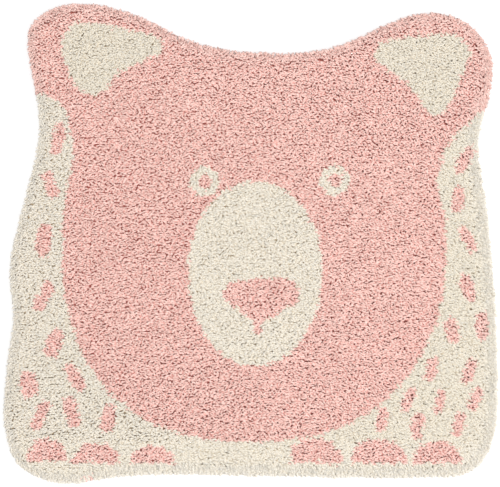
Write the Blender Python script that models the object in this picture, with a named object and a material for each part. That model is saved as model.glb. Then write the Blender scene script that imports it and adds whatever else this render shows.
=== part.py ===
"""A kids' rug in the shape of a bear's head, as one flat slab of short shag pile.

The rug lies face up on a floor. +X points to the right ear as seen from above, +Y from the hem
to the ears and +Z up. The origin is on the underside, at the middle of the width and the length.
All lengths are in metres.

The slab has a flat sole, a wall that the pile rounds over, and a lumpy top. Locks of yarn stand
out from the wall and droop towards the floor. The pale face, ears and flanks of the real rug are
colour alone, so they have no shape here.
"""

import math
import random
from typing import NamedTuple

import bmesh
import bpy
import numpy as np
from mathutils import Vector
from mathutils.geometry import delaunay_2d_cdt

# Overall size
WIDTH = 1.000
LENGTH = 0.970
THICKNESS = 0.020

# Locks at the rim
LOCKS = 240
LOCK_REACH = 0.008
LOCK_SHARE = 0.75  # of the pitch; the rest is the gap to the next lock
LOCK_TIP = 0.40  # size of a lock's tip against its root
LOCK_DROOP = 0.003
LOCK_LEAN = 0.0035  # the most that a tip lies to one side
SHORTEST_LOCK = 0.55  # of LOCK_REACH

# Lumps of the top
LUMP_PITCH = 0.030
LUMP_DEPTH = 0.0040
LUMP_WANDER = 0.005  # how far a lump lies from its place in an even grid

CURVE_STEPS = 24  # samples between two points of the outline
FILL_INSIDE = 1  # delaunay_2d_cdt's output type for triangles inside the given edge
FILL_TOLERANCE = 1e-7
SHARP_ANGLE = math.radians(50)
SEED = 24

PILE_COLOUR = (0.78, 0.48, 0.42, 1.0)
PILE_ROUGHNESS = 0.95


class RimPoint(NamedTuple):
    """One named place that the reach of the pile passes through."""

    place: str
    x: float
    y: float


class WallStep(NamedTuple):
    """One level of the slab's edge: how far in from the wall it lies, and how high."""

    level: str
    inset: float
    height: float


# Clockwise from above, starting at the brow. The right side isn't the mirror image of the left:
# the real rug is cut unevenly.
RIM = (
    RimPoint("brow right", 0.140, 0.391),
    RimPoint("right ear top", 0.342, 0.466),
    RimPoint("right ear shoulder", 0.433, 0.450),
    RimPoint("right ear tip", 0.485, 0.385),
    RimPoint("right ear root", 0.487, 0.315),
    RimPoint("right neck", 0.461, 0.212),
    RimPoint("right cheek", 0.479, 0.050),
    RimPoint("right flank", 0.496, -0.160),
    RimPoint("right corner upper", 0.489, -0.400),
    RimPoint("right corner lower", 0.446, -0.461),
    RimPoint("hem right", 0.345, -0.473),
    RimPoint("hem left", -0.235, -0.469),
    RimPoint("left corner lower", -0.385, -0.485),
    RimPoint("left corner", -0.467, -0.451),
    RimPoint("left corner upper", -0.498, -0.372),
    RimPoint("left flank lower", -0.495, -0.265),
    RimPoint("left waist", -0.481, -0.150),
    RimPoint("left flank", -0.488, -0.050),
    RimPoint("left neck", -0.428, 0.235),
    RimPoint("left ear tip", -0.450, 0.430),
    RimPoint("left ear shoulder", -0.407, 0.474),
    RimPoint("left ear top", -0.345, 0.486),
    RimPoint("left ear fall", -0.240, 0.466),
    RimPoint("brow left", -0.090, 0.401),
)

# From the sole up. The locks grow between the lower and the upper wall.
WALL = (
    WallStep("sole edge", 0.0040, 0.0),
    WallStep("lower wall", 0.0008, 0.0032),
    WallStep("upper wall", 0.0, 0.0120),
    WallStep("shoulder", 0.0050, 0.0168),
    WallStep("crown edge", 0.0140, 0.0190),
)
LOWER_WALL = 1


def clear_scene() -> None:
    """Remove every object of the open scene."""
    for obj in list(bpy.data.objects):
        bpy.data.objects.remove(obj, do_unlink=True)


def smooth_loop(points: np.ndarray, steps: int) -> np.ndarray:
    """Carry a closed centripetal Catmull-Rom curve through points, with steps samples a span.

    Each span blends the straight lines through its two ends and their neighbours, with knots
    spaced by the square root of the chord, so that uneven spans neither loop nor overshoot.
    """
    spans = []
    for index in range(len(points)):
        a, b, c, d = (points[(index + offset) % len(points)] for offset in (-1, 0, 1, 2))
        knots = [0.0]
        for start, end in ((a, b), (b, c), (c, d)):
            knots.append(knots[-1] + math.sqrt(np.linalg.norm(end - start)))
        t = np.linspace(knots[1], knots[2], steps, endpoint=False)[:, None]
        ab = between(a, b, knots[0], knots[1], t)
        bc = between(b, c, knots[1], knots[2], t)
        cd = between(c, d, knots[2], knots[3], t)
        abc = between(ab, bc, knots[0], knots[2], t)
        bcd = between(bc, cd, knots[1], knots[3], t)
        spans.append(between(abc, bcd, knots[1], knots[2], t))
    return np.concatenate(spans)


def between(
    start: np.ndarray, end: np.ndarray, t_start: float, t_end: float, t: np.ndarray
) -> np.ndarray:
    """Return the point at t on the line that is at start at t_start and at end at t_end."""
    share = (t - t_start) / (t_end - t_start)
    return start * (1.0 - share) + end * share


def inward_directions(loop: np.ndarray) -> np.ndarray:
    """Return the unit vector at each point of a clockwise loop that points to its inside."""
    along = np.roll(loop, -1, axis=0) - np.roll(loop, 1, axis=0)
    along /= np.linalg.norm(along, axis=1, keepdims=True)
    return np.stack([along[:, 1], -along[:, 0]], axis=1)


def rim_columns(loop: np.ndarray) -> tuple[np.ndarray, np.ndarray]:
    """Return two places on loop for each lock, either side of its root, and the ways inward."""
    values = np.hstack([loop, inward_directions(loop)])
    closed = np.vstack([values, values[:1]])
    sides = np.linalg.norm(np.diff(closed[:, :2], axis=0), axis=1)
    run = np.concatenate([[0.0], np.cumsum(sides)])
    starts = np.arange(LOCKS) / LOCKS
    shares = np.stack([starts, starts + LOCK_SHARE / LOCKS], axis=1).ravel()
    columns = [np.interp(shares * run[-1], run, value) for value in closed.T]
    return np.stack(columns[:2], axis=1), np.stack(columns[2:], axis=1)


def is_inside(points: np.ndarray, loop: np.ndarray) -> np.ndarray:
    """Tell which points lie inside loop, by counting the sides that a ray along +X crosses."""
    start = loop[None, :, :]
    end = np.roll(loop, -1, axis=0)[None, :, :]
    x, y = points[:, 0, None], points[:, 1, None]
    spans_y = (start[..., 1] > y) != (end[..., 1] > y)
    rise = np.where(spans_y, end[..., 1] - start[..., 1], 1.0)
    crossing = start[..., 0] + (y - start[..., 1]) * (end[..., 0] - start[..., 0]) / rise
    return np.count_nonzero(spans_y & (x < crossing), axis=1) % 2 == 1


def lump_places(loop: np.ndarray, rng: random.Random) -> np.ndarray:
    """Return a slightly disordered triangular grid of points, well inside loop."""
    row_step = LUMP_PITCH * math.sqrt(0.75)
    columns = math.ceil(WIDTH / LUMP_PITCH)
    rows = math.ceil(LENGTH / row_step)
    places = []
    for row in range(rows + 1):
        shift = 0.5 * (row % 2)
        for column in range(columns + 1):
            x = (column + shift - columns / 2) * LUMP_PITCH + rng.uniform(-1, 1) * LUMP_WANDER
            y = (row - rows / 2) * row_step + rng.uniform(-1, 1) * LUMP_WANDER
            places.append((x, y))
    points = np.array(places)
    distance = np.linalg.norm(points[:, None, :] - loop[None, :, :], axis=2).min(axis=1)
    return points[is_inside(points, loop) & (distance > LUMP_PITCH / 2)]


def add_ring(bm: bmesh.types.BMesh, loop: np.ndarray, height: float) -> list:
    """Add loop's points to the mesh at one height."""
    return [bm.verts.new((x, y, height)) for x, y in loop]


def add_strip(bm: bmesh.types.BMesh, lower: list, upper: list) -> list:
    """Join two clockwise rings with quads that face outwards, and return the quads."""
    count = len(lower)
    quads = []
    for index in range(count):
        following = (index + 1) % count
        corners = (lower[following], lower[index], upper[index], upper[following])
        quads.append(bm.faces.new(corners))
    return quads


def add_top(bm: bmesh.types.BMesh, ring: list, places: np.ndarray, rng: random.Random) -> None:
    """Fill ring with triangles whose inner corners are lumps of uneven height."""
    lumps = [bm.verts.new((x, y, THICKNESS - rng.random() * LUMP_DEPTH)) for x, y in places]
    verts = ring + lumps
    flat = [Vector(vert.co.xy) for vert in verts]
    edge = [list(range(len(ring)))]
    result = delaunay_2d_cdt(flat, [], edge, FILL_INSIDE, FILL_TOLERANCE)
    sources = [origin[0] for origin in result[3]]
    for triangle in result[2]:
        bm.faces.new([verts[sources[index]] for index in triangle])


def add_locks(bm: bmesh.types.BMesh, roots: list, rng: random.Random) -> None:
    """Draw each root quad out of the wall into a tapering four-sided lock that droops."""
    tips = bmesh.ops.extrude_discrete_faces(bm, faces=roots)["faces"]
    for tip in tips:
        outward = tip.normal.copy()
        outward.z = 0.0
        outward.normalize()
        sideways = Vector((-outward.y, outward.x, 0.0))
        reach = LOCK_REACH * rng.uniform(SHORTEST_LOCK, 1.0)
        middle = tip.calc_center_median()
        centre = middle + outward * reach + sideways * rng.uniform(-1, 1) * LOCK_LEAN
        centre.z -= LOCK_DROOP
        for vert in tip.verts:
            vert.co = centre + (vert.co - middle) * LOCK_TIP


def fit_to_size(bm: bmesh.types.BMesh) -> None:
    """Centre the mesh on the origin, with its sole at z = 0, and give it its overall size."""
    coords = np.array([vert.co for vert in bm.verts])
    low, high = coords.min(axis=0), coords.max(axis=0)
    middle = (low + high) / 2
    middle[2] = low[2]
    scale = np.array([WIDTH, LENGTH, THICKNESS]) / (high - low)
    for vert in bm.verts:
        vert.co = (np.array(vert.co) - middle) * scale


def rug_mesh() -> bpy.types.Mesh:
    """Build the slab from its sole to its lumps, with the locks at its rim."""
    rng = random.Random(SEED)
    outline = smooth_loop(np.array([(point.x, point.y) for point in RIM]), CURVE_STEPS)
    reach, inward = rim_columns(outline)
    loops = [reach + inward * (LOCK_REACH + step.inset) for step in WALL]
    bm = bmesh.new()
    rings = [add_ring(bm, loop, step.height) for loop, step in zip(loops, WALL)]
    strips = [add_strip(bm, lower, upper) for lower, upper in zip(rings, rings[1:])]
    bm.faces.new(rings[0])
    add_top(bm, rings[-1], lump_places(loops[-1], rng), rng)
    bm.normal_update()
    add_locks(bm, strips[LOWER_WALL][0::2], rng)
    fit_to_size(bm)
    bmesh.ops.triangulate(bm, faces=bm.faces[:])
    bmesh.ops.recalc_face_normals(bm, faces=bm.faces[:])
    mesh = bpy.data.meshes.new("rug")
    bm.to_mesh(mesh)
    bm.free()
    mesh.shade_smooth()
    mesh.set_sharp_from_angle(angle=SHARP_ANGLE)
    return mesh


def pile_material() -> bpy.types.Material:
    """Make the matt pink of the yarn, the rug's main colour."""
    material = bpy.data.materials.new("pink pile")
    material.use_nodes = True
    shader = material.node_tree.nodes["Principled BSDF"]
    shader.inputs["Base Color"].default_value = PILE_COLOUR
    shader.inputs["Roughness"].default_value = PILE_ROUGHNESS
    shader.inputs["Metallic"].default_value = 0.0
    return material


def main() -> None:
    """Build the rug in an empty scene."""
    clear_scene()
    rug = bpy.data.objects.new("rug", rug_mesh())
    rug.data.materials.append(pile_material())
    bpy.context.scene.collection.objects.link(rug)


if __name__ == "__main__":
    main()
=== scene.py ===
"""Looks of the bear shaped kids' rug: its tufted pile, its ground cloth and a plain studio.

All lengths are in metres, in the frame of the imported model: +X to the right as seen from above,
+Y from the hem to the ears, +Z up from the floor, and the origin under the middle of the rug. The
rug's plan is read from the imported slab, so the pile grows where the slab is.
"""

import logging
import math
from dataclasses import dataclass, field
from enum import Enum
from typing import ClassVar, Protocol

import bpy
import numpy as np
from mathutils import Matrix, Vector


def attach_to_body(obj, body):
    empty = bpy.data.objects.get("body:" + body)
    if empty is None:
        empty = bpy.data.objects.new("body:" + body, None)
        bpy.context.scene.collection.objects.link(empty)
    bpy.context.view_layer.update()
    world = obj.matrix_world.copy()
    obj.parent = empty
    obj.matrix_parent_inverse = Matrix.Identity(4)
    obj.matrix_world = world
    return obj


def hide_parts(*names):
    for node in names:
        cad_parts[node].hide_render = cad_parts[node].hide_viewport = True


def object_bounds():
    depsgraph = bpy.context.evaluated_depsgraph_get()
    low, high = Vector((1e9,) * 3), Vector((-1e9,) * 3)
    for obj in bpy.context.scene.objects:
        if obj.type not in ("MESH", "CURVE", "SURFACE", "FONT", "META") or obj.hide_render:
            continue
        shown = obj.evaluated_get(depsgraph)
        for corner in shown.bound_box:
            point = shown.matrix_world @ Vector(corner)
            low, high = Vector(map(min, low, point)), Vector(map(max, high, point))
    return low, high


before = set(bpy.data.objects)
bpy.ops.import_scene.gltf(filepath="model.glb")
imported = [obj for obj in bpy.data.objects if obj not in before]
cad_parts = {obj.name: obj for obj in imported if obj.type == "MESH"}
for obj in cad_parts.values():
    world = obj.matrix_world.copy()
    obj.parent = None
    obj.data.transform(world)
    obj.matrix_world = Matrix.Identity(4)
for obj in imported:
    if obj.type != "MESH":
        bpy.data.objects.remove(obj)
CAD_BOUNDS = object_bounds()

LOG = logging.getLogger("bear_rug")
BODY = "root"
SLAB = "rug"
MM = 0.001


# ---- Shader nodes ----------------------------------------------------------------------------


class Wire:
    """One output socket of a node tree, with arithmetic that adds Math nodes.

    Attributes:
        graph: The node tree that it belongs to.
        socket: The socket.
    """

    def __init__(self, graph: "Graph", socket: bpy.types.NodeSocket) -> None:
        """Wrap socket, an output of a node in graph."""
        self.graph = graph
        self.socket = socket

    def __add__(self, other: "Value") -> "Wire":
        """Return self + other."""
        return self.graph.maths("ADD", self, other)

    def __radd__(self, other: "Value") -> "Wire":
        """Return other + self."""
        return self.graph.maths("ADD", other, self)

    def __sub__(self, other: "Value") -> "Wire":
        """Return self - other."""
        return self.graph.maths("SUBTRACT", self, other)

    def __rsub__(self, other: "Value") -> "Wire":
        """Return other - self."""
        return self.graph.maths("SUBTRACT", other, self)

    def __mul__(self, other: "Value") -> "Wire":
        """Return self * other."""
        return self.graph.maths("MULTIPLY", self, other)

    def __rmul__(self, other: "Value") -> "Wire":
        """Return other * self."""
        return self.graph.maths("MULTIPLY", other, self)

    def sine(self) -> "Wire":
        """Return the sine of self, which is in radians."""
        return self.graph.maths("SINE", self)


Value = Wire | float


class Graph:
    """The node tree of one new material, which feeds its Principled shader.

    Attributes:
        material: The material.
        tree: Its node tree.
    """

    def __init__(self, name: str) -> None:
        """Start the material, with its Principled shader.

        Args:
            name: The material's name.
        """
        self.material = bpy.data.materials.new(name)
        self.material.use_nodes = True
        self.tree = self.material.node_tree

    def node(
        self,
        kind: str,
        settings: dict[str, object] | None = None,
        inputs: dict[str | int, object] | None = None,
        output: str | int = 0,
    ) -> Wire:
        """Add a node, set it up and link or fill its inputs.

        Args:
            kind: The node's type, such as ShaderNodeTexNoise.
            settings: Properties of the node, which are set before its inputs.
            inputs: A Wire, number or colour for each input, by its name or index.
            output: The name or index of the output to return.

        Returns:
            The chosen output.
        """
        made = self.tree.nodes.new(kind)
        for key, setting in (settings or {}).items():
            setattr(made, key, setting)
        self._fill(made, inputs or {})
        return Wire(self, made.outputs[output])

    def _fill(self, made: bpy.types.Node, inputs: dict[str | int, object]) -> None:
        """Link each input to its Wire, or set it to its number or colour.

        Args:
            made: The node.
            inputs: A Wire, number or colour for each input, by its name or index.
        """
        for key, value in inputs.items():
            if isinstance(value, Wire):
                self.tree.links.new(value.socket, made.inputs[key])
            else:
                made.inputs[key].default_value = value

    def maths(self, operation: str, *values: Value) -> Wire:
        """Add a Math node that does operation on values, and return its result."""
        return self.node("ShaderNodeMath", {"operation": operation}, dict(enumerate(values)))

    def mix(self, factor: Value, first: object, second: object, blend: str = "MIX") -> Wire:
        """Return two colours blended by a Mix node, where factor is 0 for first, 1 for second."""
        settings = {"data_type": "RGBA", "blend_type": blend}
        return self.node("ShaderNodeMix", settings, {0: factor, 6: first, 7: second}, 2)

    def attribute(self, name: str) -> Wire:
        """Return a number that each of the mesh's points holds under name."""
        return self.node("ShaderNodeAttribute", {"attribute_name": name}, output="Fac")

    def axes(self, place: Wire) -> tuple[Wire, Wire]:
        """Return x and y of a place."""
        parts = [self.node("ShaderNodeSeparateXYZ", {}, {0: place}, axis) for axis in "XY"]
        return parts[0], parts[1]

    def relief(self, height: Wire, depth: float) -> Wire:
        """Return the normals of a surface that stands out by depth where height is 1."""
        return self.node("ShaderNodeBump", {}, {"Distance": depth, "Height": height}, "Normal")

    def noise(self, place: Wire, scale: float) -> Wire:
        """Return a soft cloud pattern, from 0 to 1, with about scale clouds a metre."""
        return self.node("ShaderNodeTexNoise", {}, {"Vector": place, "Scale": scale}, "Fac")

    def finish(self, inputs: dict[str | int, object]) -> bpy.types.Material:
        """Give the material's own Principled shader these inputs, and return the material."""
        self._fill(self.tree.nodes["Principled BSDF"], inputs)
        return self.material


# ---- Finishes --------------------------------------------------------------------------------

Colour = tuple[float, float, float, float]


@dataclass(frozen=True)
class YarnFinish:
    """A matt twisted shag yarn.

    Attributes:
        name: The material's name.
        painted_shade_colour: Painted shade: the colour at the root, which stands for the shade down
            in the pile.
        shaded: Colour of the dullest tufts.
        bright: Colour of the brightest tufts.
        fuzz: Colour of the loose fibres that catch light at a glancing angle.
        sheen: How much they catch.
        ply_relief: Depth of the grooves between the plies.
        roughness: The roughness in the grooves.
        polish: How much smoother the plies are.
        fuzz_roughness: The roughness of the loose fibres.
        shade: The rises at which a tuft starts to leave the painted shade colour and has fully left
            it.
        plies: How many plies are twisted together.
        ply_shade: How much painted shade darkens the grooves.
        glow: The share of light that spreads through the fibres.
        glow_reach: How far it spreads.
    """

    name: str
    painted_shade_colour: Colour
    shaded: Colour
    bright: Colour
    fuzz: Colour
    sheen: float
    ply_relief: float
    roughness: float = 0.88
    polish: float = 0.08
    fuzz_roughness: float = 0.5
    shade: tuple[float, float] = (0.05, 0.85)
    plies: float = 2.0
    ply_shade: float = 0.10
    glow: float = 0.0
    glow_reach: float = 2.0 * MM

    def material(self) -> bpy.types.Material:
        """Make the yarn's material.

        The tone attribute, random from tuft to tuft and lowered by painted shade at the rim and in
        some zones, picks each tuft's colour between shaded and bright. The rise attribute, 0 at the
        root and 1 at the tip, brings in the painted shade colour below, which stands for the shade
        down in the pile. The ply pattern is sin(2 pi (plies * turn around the yarn + turns along
        it)) on the yarn's own UV map, and painted shade darkens its grooves.

        Returns:
            The material.
        """
        graph = Graph(self.name)
        tone = graph.attribute("tone")
        rise = graph.attribute("rise")
        place = graph.node("ShaderNodeUVMap", {"uv_map": "yarn"})
        around, along = graph.axes(place)
        ply = (math.tau * (around * self.plies + along)).sine() * 0.5 + 0.5
        body = graph.mix(tone, self.shaded, self.bright)
        # Painted shade: the lower part of each tuft takes the dark root colour, for the shade down
        # in the pile.
        shade_share = 1.0 - graph.node(
            "ShaderNodeMapRange",
            {"interpolation_type": "SMOOTHSTEP"},
            {"Value": rise, "From Min": self.shade[0], "From Max": self.shade[1]},
        )
        yarn = graph.mix(shade_share, body, self.painted_shade_colour)
        # Painted shade in the grooves between the plies.
        groove = (1.0 - ply) * self.ply_shade
        coloured = graph.mix(groove, yarn, self.painted_shade_colour, "MULTIPLY")
        return graph.finish(
            {
                "Base Color": coloured,
                "Roughness": self.roughness - self.polish * ply,
                "Sheen Weight": self.sheen,
                "Sheen Roughness": self.fuzz_roughness,
                "Sheen Tint": self.fuzz,
                "Subsurface Weight": self.glow,
                "Subsurface Radius": (self.glow_reach,) * 3,
                "Subsurface Scale": 1.0,
                "Normal": graph.relief(ply, self.ply_relief),
            }
        )


@dataclass(frozen=True)
class ClothFinish:
    """A plain woven cloth of natural colour, with painted shade in its hollows and the feet of the
    pile's yarn on top, darkened with painted shade.

    Attributes:
        name: The material's name.
        hollow_shade: Colour between the threads, darkened with painted shade.
        thread: Colour on the threads.
        cream_feet_shade: Colour of the feet of cream yarn, darkened with painted shade.
        pink_feet_shade: Colour of the feet of pink yarn, darkened with painted shade.
        pitch: Distance between two threads.
        relief: How far the threads stand out.
        slubs: How many thick and thin places of the threads there are to a metre.
        slub_share: Their share in the colour, where the rest is the weave's.
        roughness: The roughness between the threads.
        polish: How much smoother the threads are.
    """

    name: str
    hollow_shade: Colour
    thread: Colour
    cream_feet_shade: Colour
    pink_feet_shade: Colour
    pitch: float = 2.4 * MM
    relief: float = 0.4 * MM
    slubs: float = 60.0
    slub_share: float = 0.3
    roughness: float = 0.95
    polish: float = 0.1

    def material(self) -> bpy.types.Material:
        """Make the cloth's material.

        A plain weave is the product of a sine across the warp and one across the weft, with half
        a turn for each thread, in Object coordinates. The tufted attribute is 1 where yarn covers
        the cloth, and the pink attribute is 1 where that yarn is pink.

        Returns:
            The material.
        """
        graph = Graph(self.name)
        place = graph.node("ShaderNodeTexCoord", output="Object")
        x, y = graph.axes(place)
        turn = math.pi / self.pitch
        weave = (x * turn).sine() * (y * turn).sine() * 0.5 + 0.5
        raised = weave * (1.0 - self.slub_share) + graph.noise(place, self.slubs) * self.slub_share
        # Painted shade in the weave's hollows between the threads.
        bare = graph.mix(raised, self.hollow_shade, self.thread)
        # Painted shade: the yarn's feet take darker colours, for the shade down in the pile.
        feet = graph.mix(graph.attribute("pink"), self.cream_feet_shade, self.pink_feet_shade)
        return graph.finish(
            {
                "Base Color": graph.mix(graph.attribute("tufted"), bare, feet),
                "Roughness": self.roughness - self.polish * weave,
                "Normal": graph.relief(weave, self.relief),
            }
        )


@dataclass(frozen=True)
class FloorFinish:
    """A plain pale floor, with a faint unevenness.

    Attributes:
        name: The material's name.
        low: Its darkest colour.
        high: Its palest colour.
        clouds: How many darker places there are to a metre.
        roughness: Its roughness.
    """

    name: str = "studio_floor"
    low: Colour = (0.93, 0.93, 0.93, 1.0)
    high: Colour = (0.95, 0.95, 0.95, 1.0)
    clouds: float = 3.0
    roughness: float = 0.9

    def material(self) -> bpy.types.Material:
        """Make the floor's material.

        Returns:
            The material.
        """
        graph = Graph(self.name)
        cloud = graph.noise(graph.node("ShaderNodeTexCoord", output="Object"), self.clouds)
        colour = graph.mix(cloud, self.low, self.high)
        return graph.finish({"Base Color": colour, "Roughness": self.roughness})


PINK_YARN = YarnFinish(
    name="pink_shag_yarn",
    painted_shade_colour=(0.91, 0.16, 0.11, 1.0),
    shaded=(0.68, 0.41, 0.36, 1.0),
    bright=(0.995, 0.752, 0.681, 1.0),
    fuzz=(1.0, 0.72, 0.64, 1.0),
    sheen=0.08,
    ply_relief=0.30 * MM,
)
CREAM_YARN = YarnFinish(
    name="cream_shag_yarn",
    painted_shade_colour=(1.0, 0.845, 0.61, 1.0),
    shaded=(0.77, 0.712, 0.605, 1.0),
    bright=(0.838, 0.780, 0.688, 1.0),
    fuzz=(1.0, 0.93, 0.83, 1.0),
    sheen=0.50,
    ply_relief=0.12 * MM,
    ply_shade=0.08,
    glow=0.5,
)
GROUND_FINISH = ClothFinish(
    name="ground_cloth_weave",
    hollow_shade=(0.45, 0.38, 0.28, 1.0),
    thread=(0.72, 0.66, 0.55, 1.0),
    cream_feet_shade=(0.72, 0.55, 0.35, 1.0),
    pink_feet_shade=(0.62, 0.19, 0.15, 1.0),
)


class Yarn(Enum):
    """The two yarns of the pile, by the record's material slot."""

    PINK = "pink_pile"
    CREAM = "cream_pile"


# ---- The rug's plan --------------------------------------------------------------------------


class Side(Enum):
    """The two sides of the rug as seen from above, by the sign of x."""

    LEFT = -1
    RIGHT = 1


@dataclass
class RugPlan:
    """The rug's plan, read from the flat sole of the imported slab.

    Attributes:
        sole: The sole's corners, counter-clockwise round its middle, as rows of x and y.
        overhang: How far the pile reaches past the sole.
        step: The distance between two points of the edge when it is moved.
        slack: How far above the floor a point of the sole may lie.
        decimals: To how many decimals of a metre the slab's points are told apart.
        batches: In how many batches points are measured, which keeps the arrays small.
        tiny: The least distance that a direction is worked out from.
    """

    sole: np.ndarray
    overhang: float
    step: ClassVar[float] = 4 * MM
    slack: ClassVar[float] = 0.01 * MM
    decimals: ClassVar[int] = 6
    batches: ClassVar[int] = 32
    tiny: ClassVar[float] = 1e-9

    @classmethod
    def from_slab(cls, slab: bpy.types.Object) -> "RugPlan":
        """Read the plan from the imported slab.

        The sole is the ring of points at the floor. Seen from the middle of the rug each part of
        it lies in a direction of its own, so the angle about the middle puts it in order.

        Args:
            slab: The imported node.

        Returns:
            The plan.
        """
        corners = np.empty(len(slab.data.vertices) * 3, dtype=np.float32)
        slab.data.vertices.foreach_get("co", corners)
        corners = np.round(corners.reshape(-1, 3).astype(float), cls.decimals)
        corners = np.unique(corners, axis=0)
        sole = corners[corners[:, 2] < cls.slack, :2]
        sole = sole[np.argsort(np.arctan2(sole[:, 1], sole[:, 0]))]
        spare = np.ptp(corners[:, :2], axis=0) - np.ptp(sole, axis=0)
        return cls(sole, float(spare.mean()) / 2)

    def loop(self, outward: float, pitch: float) -> np.ndarray:
        """Return evenly spaced points on the sole's edge moved outward.

        Args:
            outward: How far past the sole, square to its edge.
            pitch: The distance between two points.

        Returns:
            Rows of x and y, counter-clockwise.
        """
        even = evenly(self.sole, self.step)
        along = np.roll(even, -1, axis=0) - np.roll(even, 1, axis=0)
        along /= np.linalg.norm(along, axis=1, keepdims=True)
        moved = even + np.stack([along[:, 1], -along[:, 0]], axis=1) * outward
        return evenly(moved, pitch)

    def measure(self, points: np.ndarray) -> tuple[np.ndarray, np.ndarray]:
        """Measure points against the sole's edge.

        The distance to a side is that to its nearest point: the foot of the perpendicular, held
        between the side's ends. A point is inside if a ray from it along +X crosses an odd number
        of sides.

        Args:
            points: Rows of x and y.

        Returns:
            The distance of each point inside the edge, less than 0 outside it, and the unit
            vector from it to the outside.
        """
        parts = [self._measure_batch(batch) for batch in np.array_split(points, self.batches)]
        depths, ways = zip(*parts)
        return np.concatenate(depths), np.concatenate(ways)

    def _measure_batch(self, points: np.ndarray) -> tuple[np.ndarray, np.ndarray]:
        """Measure a few thousand points at once.

        Args:
            points: Rows of x and y.

        Returns:
            The same as measure.
        """
        start = self.sole[None]
        side = (np.roll(self.sole, -1, axis=0) - self.sole)[None]
        offset = points[:, None] - start
        share = np.clip((offset * side).sum(2) / (side * side).sum(2), 0.0, 1.0)
        gap = side * share[..., None] - offset
        distance = np.linalg.norm(gap, axis=2)
        nearest = distance.argmin(axis=1)
        rows = np.arange(len(points))
        end_y = (start + side)[..., 1]
        spans = (start[..., 1] > points[:, 1, None]) != (end_y > points[:, 1, None])
        rise = np.where(spans, side[..., 1], 1.0)
        crossing = start[..., 0] - offset[..., 1] * -side[..., 0] / rise
        inside = np.count_nonzero(spans & (crossing > points[:, 0, None]), axis=1) % 2 == 1
        sign = np.where(inside, 1.0, -1.0)
        reach = distance[rows, nearest]
        way = gap[rows, nearest] / np.maximum(reach, self.tiny)[:, None] * sign[:, None]
        return reach * sign, way

    def rim_x(self, y: float, side: Side) -> float:
        """Find how far the pile reaches on one side.

        Args:
            y: A height on the plan.
            side: The side.

        Returns:
            The x of its reach there.
        """
        rim = self.loop(self.overhang, self.step)
        level = rim[np.abs(rim[:, 1] - y) < self.step, 0]
        return float((level * side.value).max() * side.value)

    def area(self, outward: float) -> float:
        """Return the area inside the sole's edge moved outward, by the shoelace formula."""
        x, y = self.loop(outward, self.step / 2).T
        return float(np.sum(x * np.roll(y, -1) - np.roll(x, -1) * y)) / 2


def evenly(loop: np.ndarray, pitch: float) -> np.ndarray:
    """Space points evenly along a closed loop, by their distance along it.

    Args:
        loop: The loop's corners, as rows of x and y.
        pitch: About how far apart the points are to be.

    Returns:
        Rows of x and y.
    """
    closed = np.vstack([loop, loop[:1]])
    run = np.concatenate([[0.0], np.cumsum(np.linalg.norm(np.diff(closed, axis=0), axis=1))])
    places = np.linspace(0.0, run[-1], round(run[-1] / pitch), endpoint=False)
    return np.stack([np.interp(places, run, closed[:, axis]) for axis in (0, 1)], axis=1)


# ---- Shapes of the coloured areas ------------------------------------------------------------


class Shape(Protocol):
    """A flat shape on the rug's plan."""

    def covers(self, points: np.ndarray) -> np.ndarray:
        """Tell which rows of x and y lie in the shape."""


@dataclass(frozen=True)
class Hull:
    """The shape of a thread pulled tight round a few discs.

    Attributes:
        discs: For each disc its x, y and radius.
        directions: How many directions the hull is tested in.
    """

    discs: tuple[tuple[float, float, float], ...]
    directions: ClassVar[int] = 72

    def covers(self, points: np.ndarray) -> np.ndarray:
        """Tell which points lie in the hull.

        A point is inside when in no direction it lies further out than the disc that reaches
        furthest that way, which is the largest of centre . direction + radius.

        Args:
            points: Rows of x and y.

        Returns:
            Whether each point is covered.
        """
        angles = np.linspace(0.0, math.tau, self.directions, endpoint=False)
        ways = np.stack([np.cos(angles), np.sin(angles)])
        centres, radii = np.split(np.array(self.discs), [2], axis=1)
        reach = (centres @ ways + radii).max(axis=0)
        return np.all(points @ ways <= reach, axis=1)


def disc(x: float, y: float, radius: float) -> Hull:
    """Return a disc as a hull."""
    return Hull(((x, y, radius),))


@dataclass(frozen=True)
class Egg:
    """An oval with a longer lower half, whose sides follow |x/a|^power + |y/b|^power = 1.

    Attributes:
        x: Its middle.
        y: The height of its widest place.
        half_width: Half its width there.
        rise: How far it reaches above that.
        drop: How far it reaches below.
        power: How square it is; 2 is an ellipse.
    """

    x: float
    y: float
    half_width: float
    rise: float
    drop: float
    power: float = 2.05

    def covers(self, points: np.ndarray) -> np.ndarray:
        """Tell which points lie in the egg.

        Args:
            points: Rows of x and y.

        Returns:
            Whether each point is covered.
        """
        x = (points[:, 0] - self.x) / self.half_width
        above = points[:, 1] - self.y
        y = above / np.where(above > 0.0, self.rise, self.drop)
        return np.abs(x) ** self.power + np.abs(y) ** self.power <= 1.0


@dataclass(frozen=True)
class Scallop:
    """A half-round with a flat base, a little squarer than a half oval.

    Attributes:
        x: Its middle.
        width: Its width at the base.
        height: Its height.
        base: The height of its base on the plan.
        power: How square it is; 2 is an ellipse.
    """

    x: float
    width: float
    height: float
    base: float = -0.4425
    power: float = 2.2

    def covers(self, points: np.ndarray) -> np.ndarray:
        """Tell which points lie in the scallop."""
        dome = Egg(self.x, self.base, self.width / 2, self.height, self.height, self.power)
        return dome.covers(points) & (points[:, 1] >= self.base)


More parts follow.
